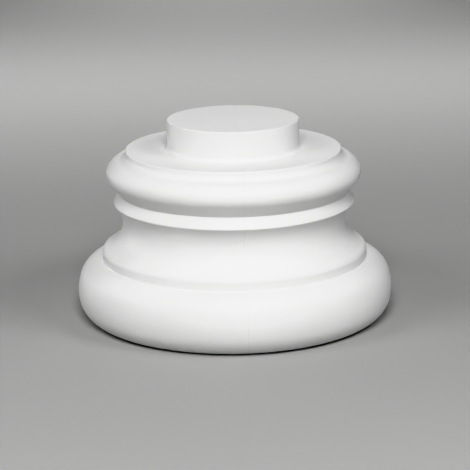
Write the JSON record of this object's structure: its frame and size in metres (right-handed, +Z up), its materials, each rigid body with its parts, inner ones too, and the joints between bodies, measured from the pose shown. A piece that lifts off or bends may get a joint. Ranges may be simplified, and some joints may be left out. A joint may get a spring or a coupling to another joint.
{
  "type": "column base",
  "caption": "Round attic column base moulding: lower torus, scotia and upper torus, with a flat seat and a locating spigot for a hollow shaft",
  "frame": {"origin": "centre of the underside, on the column's axis", "axes": "+Z up along the column's axis toward the shaft, +Y away from the viewer, +X to the viewer's right; the moulding is round, so X and Y are free"},
  "size_m": [0.44, 0.4398, 0.2775],
  "materials": {
    "primer": "smooth matte white primer over rigid foam"
  },
  "bodies": {
    "root": {"column_base": "primer"}
  },
  "joints": []
}
